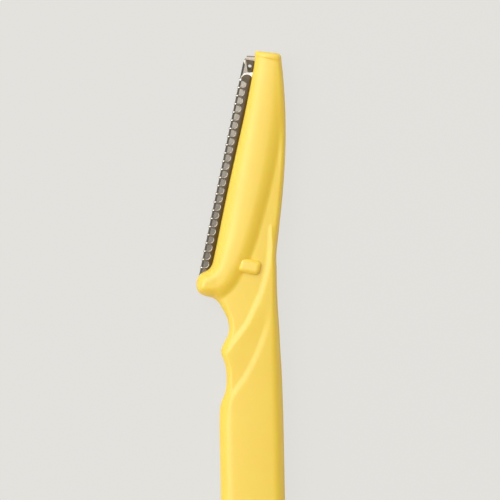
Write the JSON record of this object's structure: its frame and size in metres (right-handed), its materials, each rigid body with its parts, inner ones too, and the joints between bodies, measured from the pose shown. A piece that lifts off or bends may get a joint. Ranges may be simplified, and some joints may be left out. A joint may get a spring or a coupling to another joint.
{
  "type": "eyebrow razor",
  "caption": "Slim one-piece plastic razor with a finger grip, a hook and a leaf-shaped head that holds a straight steel blade behind a folded, windowed guard.",
  "frame": {"origin": "middle of the plain handle's flat back, on the handle's axis", "axes": "+Y along the handle towards the tip of the blade, +Z out of the front face, with the cutting edge on the -X side"},
  "size_m": [0.0157, 0.1502, 0.0063],
  "materials": {
    "handle_plastic": "smooth moulded yellow plastic with a soft gloss",
    "blade_steel": "bright rolled stainless strip with a dull ground bevel",
    "guard_steel": "thin stainless sheet with bright punched edges"
  },
  "bodies": {
    "root": {"handle": "handle_plastic", "blade": "blade_steel", "guard": "guard_steel"}
  },
  "joints": []
}
